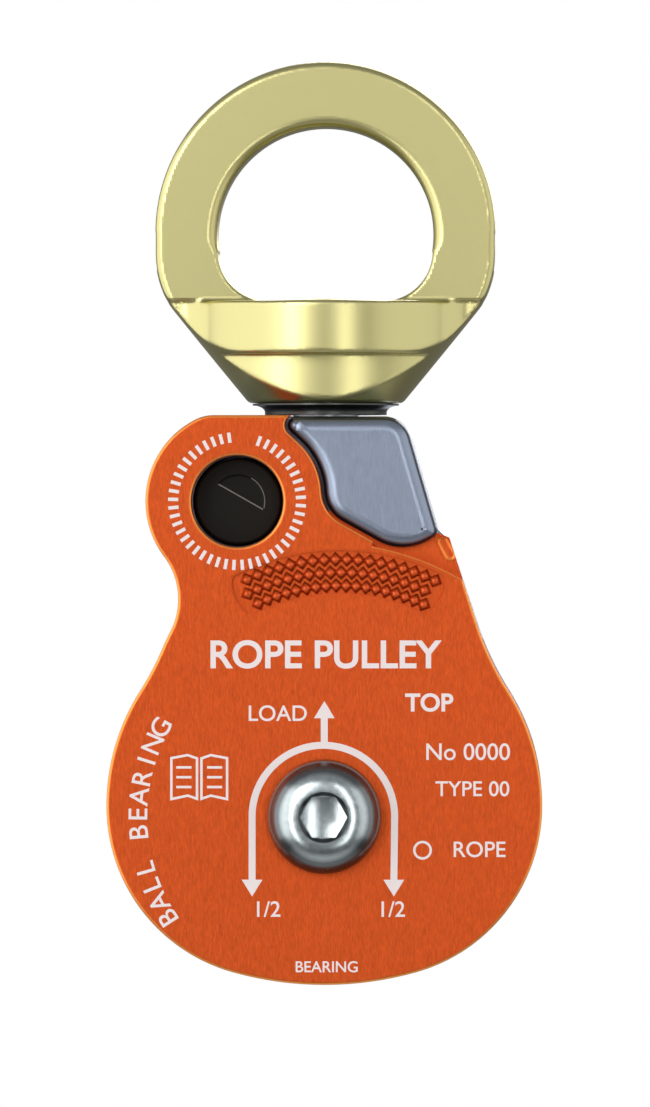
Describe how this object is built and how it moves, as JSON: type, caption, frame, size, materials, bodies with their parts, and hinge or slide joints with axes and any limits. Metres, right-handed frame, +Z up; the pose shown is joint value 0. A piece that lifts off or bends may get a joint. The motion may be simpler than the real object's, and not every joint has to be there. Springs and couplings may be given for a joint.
{
  "type": "rope pulley",
  "caption": "Swivel-eye climbing pulley with two side plates, one swinging open on the axle past a push-button latch, and a ball-bearing rope sheave.",
  "frame": {"origin": "top of the swivel eye's hole, where the connector bears, on the swivel axis and in the middle of the thickness", "axes": "+Z up along the swivel axis, sheave axis along Y, the opening side plate faces -Y, latch button towards -X"},
  "size_m": [0.0532, 0.0336, 0.1127],
  "materials": {
    "eye_anodised": "satin champagne gold anodised",
    "collar_steel": "dark turned steel",
    "bronze": "bearing bronze",
    "block_anodised": "blue-grey anodised, brushed",
    "plate_anodised": "orange anodised, brushed, bright bevels",
    "zinc_screw": "bright zinc plated",
    "sheave_alloy": "clear anodised, turned",
    "ball_steel": "polished bearing steel",
    "button_black": "black anodised",
    "steel": "ground steel"
  },
  "bodies": {
    "eye": {"swivel_eye": "eye_anodised", "swivel_post": "steel", "swivel_collar": "collar_steel", "swivel_thrust_washer": "bronze"},
    "block": {"block_body": "block_anodised", "swivel_bush": "bronze", "axle": "steel", "front_axle_screw": "zinc_screw", "rear_axle_screw": "zinc_screw", "front_spacer_washer": "bronze", "rear_spacer_washer": "bronze", "front_bearing_inner_ring": "steel", "rear_bearing_inner_ring": "steel", "latch_spring": "steel"},
    "front_plate": {"front_plate": "plate_anodised", "plate_bush": "bronze"},
    "sheave": {"sheave": "sheave_alloy", "sheave_circlip": "steel", "front_bearing_outer_ring": "steel", "front_bearing_front_shield": "steel", "front_bearing_rear_shield": "steel", "rear_bearing_outer_ring": "steel", "rear_bearing_front_shield": "steel", "rear_bearing_rear_shield": "steel"},
    "front_ball_set": {"front_bearing_cage": "steel", "front_bearing_ball_1": "ball_steel", "front_bearing_ball_2": "ball_steel", "front_bearing_ball_3": "ball_steel", "front_bearing_ball_4": "ball_steel", "front_bearing_ball_5": "ball_steel", "front_bearing_ball_6": "ball_steel", "front_bearing_ball_7": "ball_steel", "front_bearing_ball_8": "ball_steel"},
    "rear_ball_set": {"rear_bearing_cage": "steel", "rear_bearing_ball_1": "ball_steel", "rear_bearing_ball_2": "ball_steel", "rear_bearing_ball_3": "ball_steel", "rear_bearing_ball_4": "ball_steel", "rear_bearing_ball_5": "ball_steel", "rear_bearing_ball_6": "ball_steel", "rear_bearing_ball_7": "ball_steel", "rear_bearing_ball_8": "ball_steel"},
    "latch_button": {"latch_button": "button_black", "latch_clip": "steel"}
  },
  "joints": [
    {"name": "swivel_turn", "type": "hinge", "parent": "eye", "child": "block", "pos_m": [0, 0, -0.0353], "axis": [0, 0, 1], "continuous": true},
    {"name": "plate_swing", "type": "hinge", "parent": "block", "child": "front_plate", "pos_m": [0, -0.01, -0.08425], "axis": [0, -1, 0], "range_deg": [0, 300]},
    {"name": "sheave_spin", "type": "hinge", "parent": "block", "child": "sheave", "pos_m": [0, 0, -0.08425], "axis": [0, 1, 0], "continuous": true},
    {"name": "front_cage_spin", "type": "hinge", "parent": "block", "child": "front_ball_set", "pos_m": [0, -0.003, -0.08425], "axis": [0, 1, 0], "continuous": true},
    {"name": "rear_cage_spin", "type": "hinge", "parent": "block", "child": "rear_ball_set", "pos_m": [0, 0.003, -0.08425], "axis": [0, 1, 0], "continuous": true},
    {"name": "latch_release", "type": "slide", "parent": "block", "child": "latch_button", "axis": [0, -1, 0], "range_m": [0, 0.0041], "stiffness_N_per_m": 250, "springref_m": 0.0061, "deforming": ["latch_spring"]}
  ],
  "couplings": [
    {"joint": "front_cage_spin", "follows": "sheave_spin", "ratio": 0.588},
    {"joint": "rear_cage_spin", "follows": "sheave_spin", "ratio": 0.588}
  ]
}
